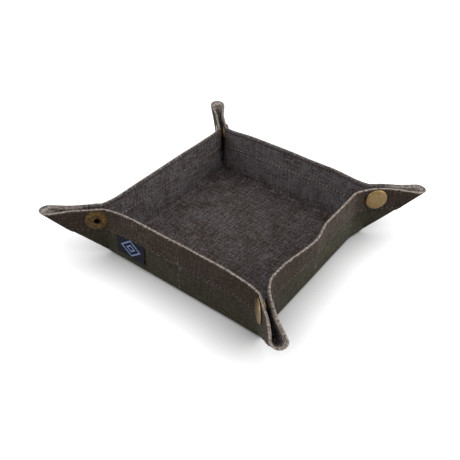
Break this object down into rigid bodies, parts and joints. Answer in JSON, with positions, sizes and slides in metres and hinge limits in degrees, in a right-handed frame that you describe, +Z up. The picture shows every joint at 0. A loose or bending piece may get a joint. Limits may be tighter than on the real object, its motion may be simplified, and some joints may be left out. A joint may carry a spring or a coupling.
{
  "type": "utility tray",
  "caption": "Soft square catch-all tray of lined waxed canvas with a turned-over hem, whose pinched corners are held up by brass press studs and open out to a flat sheet.",
  "frame": {"origin": "middle of the base's underside, which rests on the table", "axes": "+Z up out of the tray; -Y towards the front wall, which carries the label; +X towards the right wall"},
  "size_m": [0.1854, 0.1854, 0.0405],
  "materials": {
    "outer_canvas": "waxed canvas, matte",
    "lining_canvas": "waxed canvas, matte",
    "thread": "matte",
    "label": "woven, matte",
    "cap_brass": "antique, satin",
    "eyelet_brass": "antique, dull"
  },
  "bodies": {
    "base": {"outer_base": "outer_canvas", "lining_base": "lining_canvas"},
    "right_wall": {"outer_right_wall": "outer_canvas", "lining_right_wall": "lining_canvas", "hem_thread_right_wall": "thread"},
    "back_wall": {"outer_back_wall": "outer_canvas", "lining_back_wall": "lining_canvas", "hem_thread_back_wall": "thread"},
    "left_wall": {"outer_left_wall": "outer_canvas", "lining_left_wall": "lining_canvas", "hem_thread_left_wall": "thread"},
    "front_wall": {"outer_front_wall": "outer_canvas", "lining_front_wall": "lining_canvas", "hem_thread_front_wall": "thread", "woven_label": "label"},
    "back_right_cap_flap": {"outer_back_right_cap_flap": "outer_canvas", "lining_back_right_cap_flap": "lining_canvas", "hem_thread_back_right_cap_flap": "thread", "cap_back_right": "cap_brass", "socket_back_right": "cap_brass"},
    "back_right_stud_flap": {"outer_back_right_stud_flap": "outer_canvas", "lining_back_right_stud_flap": "lining_canvas", "hem_thread_back_right_stud_flap": "thread", "eyelet_back_right": "eyelet_brass", "stud_back_right": "eyelet_brass"},
    "back_left_cap_flap": {"outer_back_left_cap_flap": "outer_canvas", "lining_back_left_cap_flap": "lining_canvas", "hem_thread_back_left_cap_flap": "thread", "cap_back_left": "cap_brass", "socket_back_left": "cap_brass"},
    "back_left_stud_flap": {"outer_back_left_stud_flap": "outer_canvas", "lining_back_left_stud_flap": "lining_canvas", "hem_thread_back_left_stud_flap": "thread", "eyelet_back_left": "eyelet_brass", "stud_back_left": "eyelet_brass"},
    "front_left_cap_flap": {"outer_front_left_cap_flap": "outer_canvas", "lining_front_left_cap_flap": "lining_canvas", "hem_thread_front_left_cap_flap": "thread", "cap_front_left": "cap_brass", "socket_front_left": "cap_brass"},
    "front_left_stud_flap": {"outer_front_left_stud_flap": "outer_canvas", "lining_front_left_stud_flap": "lining_canvas", "hem_thread_front_left_stud_flap": "thread", "eyelet_front_left": "eyelet_brass", "stud_front_left": "eyelet_brass"},
    "front_right_cap_flap": {"outer_front_right_cap_flap": "outer_canvas", "lining_front_right_cap_flap": "lining_canvas", "hem_thread_front_right_cap_flap": "thread", "cap_front_right": "cap_brass", "socket_front_right": "cap_brass"},
    "front_right_stud_flap": {"outer_front_right_stud_flap": "outer_canvas", "lining_front_right_stud_flap": "lining_canvas", "hem_thread_front_right_stud_flap": "thread", "eyelet_front_right": "eyelet_brass", "stud_front_right": "eyelet_brass"}
  },
  "joints": [
    {"name": "front_wall_fold", "type": "hinge", "parent": "base", "child": "front_wall", "pos_m": [0, -0.064, 0.00145], "axis": [1, 0, 0], "range_deg": [0, 90]},
    {"name": "right_wall_fold", "type": "hinge", "parent": "base", "child": "right_wall", "pos_m": [0.064, 0, 0.00145], "axis": [0, 1, 0], "range_deg": [0, 90]},
    {"name": "back_wall_fold", "type": "hinge", "parent": "base", "child": "back_wall", "pos_m": [0, 0.064, 0.00145], "axis": [-1, 0, 0], "range_deg": [0, 90]},
    {"name": "left_wall_fold", "type": "hinge", "parent": "base", "child": "left_wall", "pos_m": [-0.064, 0, 0.00145], "axis": [0, -1, 0], "range_deg": [0, 90]},
    {"name": "back_right_cap_flap_fold", "type": "hinge", "parent": "right_wall", "child": "back_right_cap_flap", "pos_m": [0.0645, 0.06019, 0.00095], "axis": [0, 0, 1], "range_deg": [0, 45]},
    {"name": "back_left_cap_flap_fold", "type": "hinge", "parent": "back_wall", "child": "back_left_cap_flap", "pos_m": [-0.06019, 0.0645, 0.00095], "axis": [0, 0, 1], "range_deg": [0, 45]},
    {"name": "front_left_cap_flap_fold", "type": "hinge", "parent": "left_wall", "child": "front_left_cap_flap", "pos_m": [-0.0645, -0.06019, 0.00095], "axis": [0, 0, 1], "range_deg": [0, 45]},
    {"name": "front_right_cap_flap_fold", "type": "hinge", "parent": "front_wall", "child": "front_right_cap_flap", "pos_m": [0.06019, -0.0645, 0.00095], "axis": [0, 0, 1], "range_deg": [0, 45]},
    {"name": "back_right_stud_flap_fold", "type": "hinge", "parent": "back_right_cap_flap", "child": "back_right_stud_flap", "pos_m": [0.06378, 0.06378, 0], "axis": [-0.5049, -0.5049, -0.7001], "range_deg": [0, 180]},
    {"name": "back_left_stud_flap_fold", "type": "hinge", "parent": "back_left_cap_flap", "child": "back_left_stud_flap", "pos_m": [-0.06378, 0.06378, 0], "axis": [0.5049, -0.5049, -0.7001], "range_deg": [0, 180]},
    {"name": "front_left_stud_flap_fold", "type": "hinge", "parent": "front_left_cap_flap", "child": "front_left_stud_flap", "pos_m": [-0.06378, -0.06378, 0], "axis": [0.5049, 0.5049, -0.7001], "range_deg": [0, 180]},
    {"name": "front_right_stud_flap_fold", "type": "hinge", "parent": "front_right_cap_flap", "child": "front_right_stud_flap", "pos_m": [0.06378, -0.06378, 0], "axis": [-0.5049, 0.5049, -0.7001], "range_deg": [0, 180]}
  ],
  "couplings": [
    {"joint": "right_wall_fold", "follows": "front_wall_fold", "ratio": 1},
    {"joint": "back_wall_fold", "follows": "front_wall_fold", "ratio": 1},
    {"joint": "left_wall_fold", "follows": "front_wall_fold", "ratio": 1},
    {"joint": "back_right_cap_flap_fold", "follows": "front_wall_fold", "ratio": 0.5},
    {"joint": "back_left_cap_flap_fold", "follows": "front_wall_fold", "ratio": 0.5},
    {"joint": "front_left_cap_flap_fold", "follows": "front_wall_fold", "ratio": 0.5},
    {"joint": "front_right_cap_flap_fold", "follows": "front_wall_fold", "ratio": 0.5},
    {"joint": "back_right_stud_flap_fold", "follows": "front_wall_fold", "ratio": 2},
    {"joint": "back_left_stud_flap_fold", "follows": "front_wall_fold", "ratio": 2},
    {"joint": "front_left_stud_flap_fold", "follows": "front_wall_fold", "ratio": 2},
    {"joint": "front_right_stud_flap_fold", "follows": "front_wall_fold", "ratio": 2}
  ]
}
